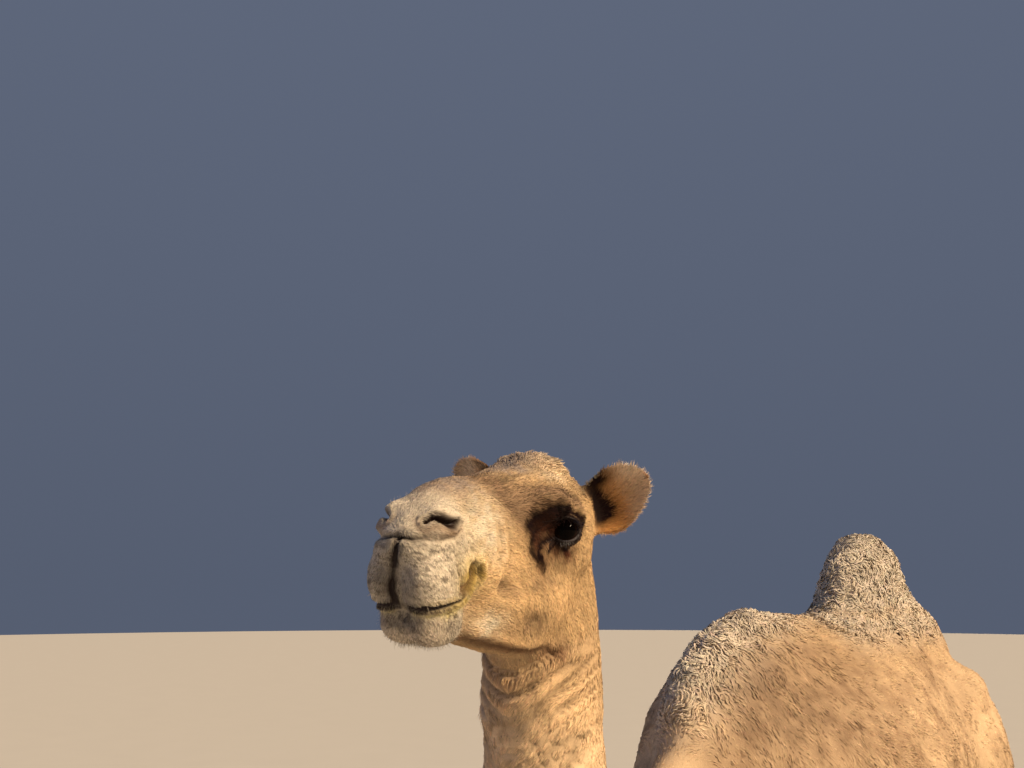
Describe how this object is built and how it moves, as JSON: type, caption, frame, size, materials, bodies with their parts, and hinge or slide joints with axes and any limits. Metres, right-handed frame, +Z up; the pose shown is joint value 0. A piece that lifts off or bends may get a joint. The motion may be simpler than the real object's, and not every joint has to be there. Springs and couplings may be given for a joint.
{
  "type": "dromedary camel",
  "caption": "Standing one-humped camel with a curved neck, head turned a little to its left and mouth closed, resting on flat soles.",
  "frame": {"origin": "on the floor, under the middle of the animal's outline seen from above", "axes": "+Z up, -Y the way the animal faces, +X to the animal's left"},
  "size_m": [0.6104, 2.5324, 1.9803],
  "materials": {
    "coat": "short warm tan fur over skin",
    "eye": "wet and glossy",
    "nail": "dull horn"
  },
  "bodies": {
    "root": {"trunk": "coat", "hump": "coat", "neck": "coat", "head": "coat", "tail": "coat", "ear_left": "coat", "ear_right": "coat", "fore_leg_left": "coat", "fore_leg_right": "coat", "hind_leg_left": "coat", "hind_leg_right": "coat", "fore_foot_left": "coat", "fore_foot_right": "coat", "hind_foot_left": "coat", "hind_foot_right": "coat", "eye_left": "eye", "eye_right": "eye", "fore_left_nail_outer": "nail", "fore_left_nail_inner": "nail", "fore_right_nail_outer": "nail", "fore_right_nail_inner": "nail", "hind_left_nail_outer": "nail", "hind_left_nail_inner": "nail", "hind_right_nail_outer": "nail", "hind_right_nail_inner": "nail"}
  },
  "joints": []
}
